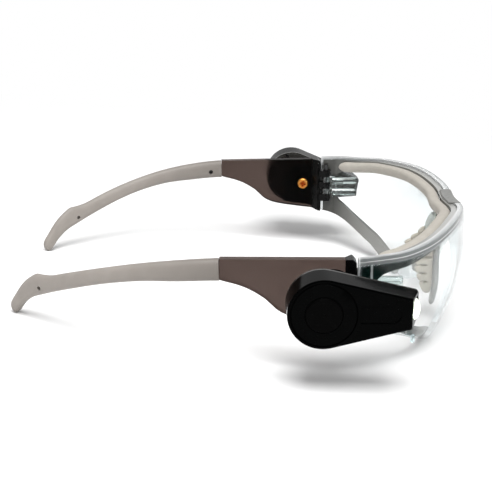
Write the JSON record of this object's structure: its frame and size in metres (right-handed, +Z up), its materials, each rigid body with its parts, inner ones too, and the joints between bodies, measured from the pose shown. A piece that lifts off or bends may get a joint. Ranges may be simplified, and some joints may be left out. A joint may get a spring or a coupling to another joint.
{
  "type": "safety glasses with lights",
  "caption": "Wrap-around safety glasses with a clear one-piece lens, padded brow frame, soft-sleeved temples and a tilting lamp pod on each temple.",
  "frame": {"origin": "centre of the box on the table below the glasses as they rest on their temple tips and lens lobes", "axes": "+X forward out of the lens, +Y to the wearer's left, +Z up from the table"},
  "size_m": [0.1622, 0.1788, 0.0458],
  "materials": {
    "lens_clear": "hard-coated clear polycarbonate",
    "frame_smoke": "smoke grey nylon",
    "pad_foam": "matt soft elastomer",
    "cover_grey": "dark grey",
    "bridge_grey": "grey flexible nylon",
    "nose_soft": "soft translucent elastomer",
    "lug_clear": "clear polycarbonate",
    "pin_steel": "ground",
    "temple_smoke": "translucent smoke",
    "sleeve_soft": "matt warm grey elastomer",
    "hinge_black": "black nylon",
    "pod_black": "satin black",
    "screw_brass": "polished",
    "spring_steel": "plain",
    "screw_dark": "black oxide",
    "cell_can": "bright",
    "board_green": "solder mask",
    "led_yellow": "phosphor",
    "reflector_bright": "metallised",
    "lamp_clear": "clear",
    "seal_black": "matt"
  },
  "bodies": {
    "front": {"lens": "lens_clear", "brow_frame": "frame_smoke", "brow_pad": "pad_foam", "bridge_cover": "cover_grey", "nose_bridge": "bridge_grey", "right_nose_pad": "nose_soft", "left_nose_pad": "nose_soft", "right_hinge_lug": "lug_clear", "left_hinge_lug": "lug_clear", "right_hinge_pin": "pin_steel", "left_hinge_pin": "pin_steel"},
    "right_temple": {"right_temple_arm": "temple_smoke", "right_temple_sleeve": "sleeve_soft", "right_hinge_block": "hinge_black", "right_pod_base": "pod_black"},
    "right_pod": {"right_pod_shell": "pod_black", "right_pod_back": "pod_black", "right_pivot_screw": "screw_brass", "right_friction_washer": "spring_steel", "right_pod_screws": "screw_dark", "right_coin_cells": "cell_can", "right_cell_spring": "spring_steel", "right_contact_board": "board_green", "right_switch_dome": "spring_steel", "right_led_board": "board_green", "right_led": "led_yellow", "right_reflector": "reflector_bright", "right_led_lens": "lamp_clear", "right_cover_seal": "seal_black"},
    "right_cover": {"right_battery_cover": "pod_black"},
    "right_button": {"right_push_button": "pod_black"},
    "left_temple": {"left_temple_arm": "temple_smoke", "left_temple_sleeve": "sleeve_soft", "left_hinge_block": "hinge_black", "left_pod_base": "pod_black"},
    "left_pod": {"left_pod_shell": "pod_black", "left_pod_back": "pod_black", "left_pivot_screw": "screw_brass", "left_friction_washer": "spring_steel", "left_pod_screws": "screw_dark", "left_coin_cells": "cell_can", "left_cell_spring": "spring_steel", "left_contact_board": "board_green", "left_switch_dome": "spring_steel", "left_led_board": "board_green", "left_led": "led_yellow", "left_reflector": "reflector_bright", "left_led_lens": "lamp_clear", "left_cover_seal": "seal_black"},
    "left_cover": {"left_battery_cover": "pod_black"},
    "left_button": {"left_push_button": "pod_black"}
  },
  "joints": [
    {"name": "right_temple_fold", "type": "hinge", "parent": "front", "child": "right_temple", "pos_m": [0.03791, -0.06573, 0.02143], "axis": [0.0756, 0, -0.9971], "range_deg": [0, 78]},
    {"name": "left_temple_fold", "type": "hinge", "parent": "front", "child": "left_temple", "pos_m": [0.03791, 0.06573, 0.02143], "axis": [-0.0756, 0, 0.9971], "range_deg": [0, 60]},
    {"name": "right_pod_tilt", "type": "hinge", "parent": "right_temple", "child": "right_pod", "pos_m": [0.02729, -0.07723, 0.02784], "axis": [0, 1, 0], "range_deg": [-15, 30]},
    {"name": "left_pod_tilt", "type": "hinge", "parent": "left_temple", "child": "left_pod", "pos_m": [0.02729, 0.07723, 0.02784], "axis": [0, 1, 0], "range_deg": [-25, 20]},
    {"name": "right_cover_turn", "type": "hinge", "parent": "right_pod", "child": "right_cover", "pos_m": [0.02324, -0.08723, 0.02703], "axis": [0, 1, 0], "range_deg": [0, 35]},
    {"name": "left_cover_turn", "type": "hinge", "parent": "left_pod", "child": "left_cover", "pos_m": [0.02316, 0.08723, 0.02775], "axis": [0, -1, 0], "range_deg": [0, 35]},
    {"name": "right_button_press", "type": "slide", "parent": "right_pod", "child": "right_button", "axis": [0, 1, 0], "range_m": [0, 0.0005], "stiffness_N_per_m": 1200, "springref_m": -0.0002},
    {"name": "left_button_press", "type": "slide", "parent": "left_pod", "child": "left_button", "axis": [0, -1, 0], "range_m": [0, 0.0005], "stiffness_N_per_m": 1200, "springref_m": -0.0002}
  ]
}
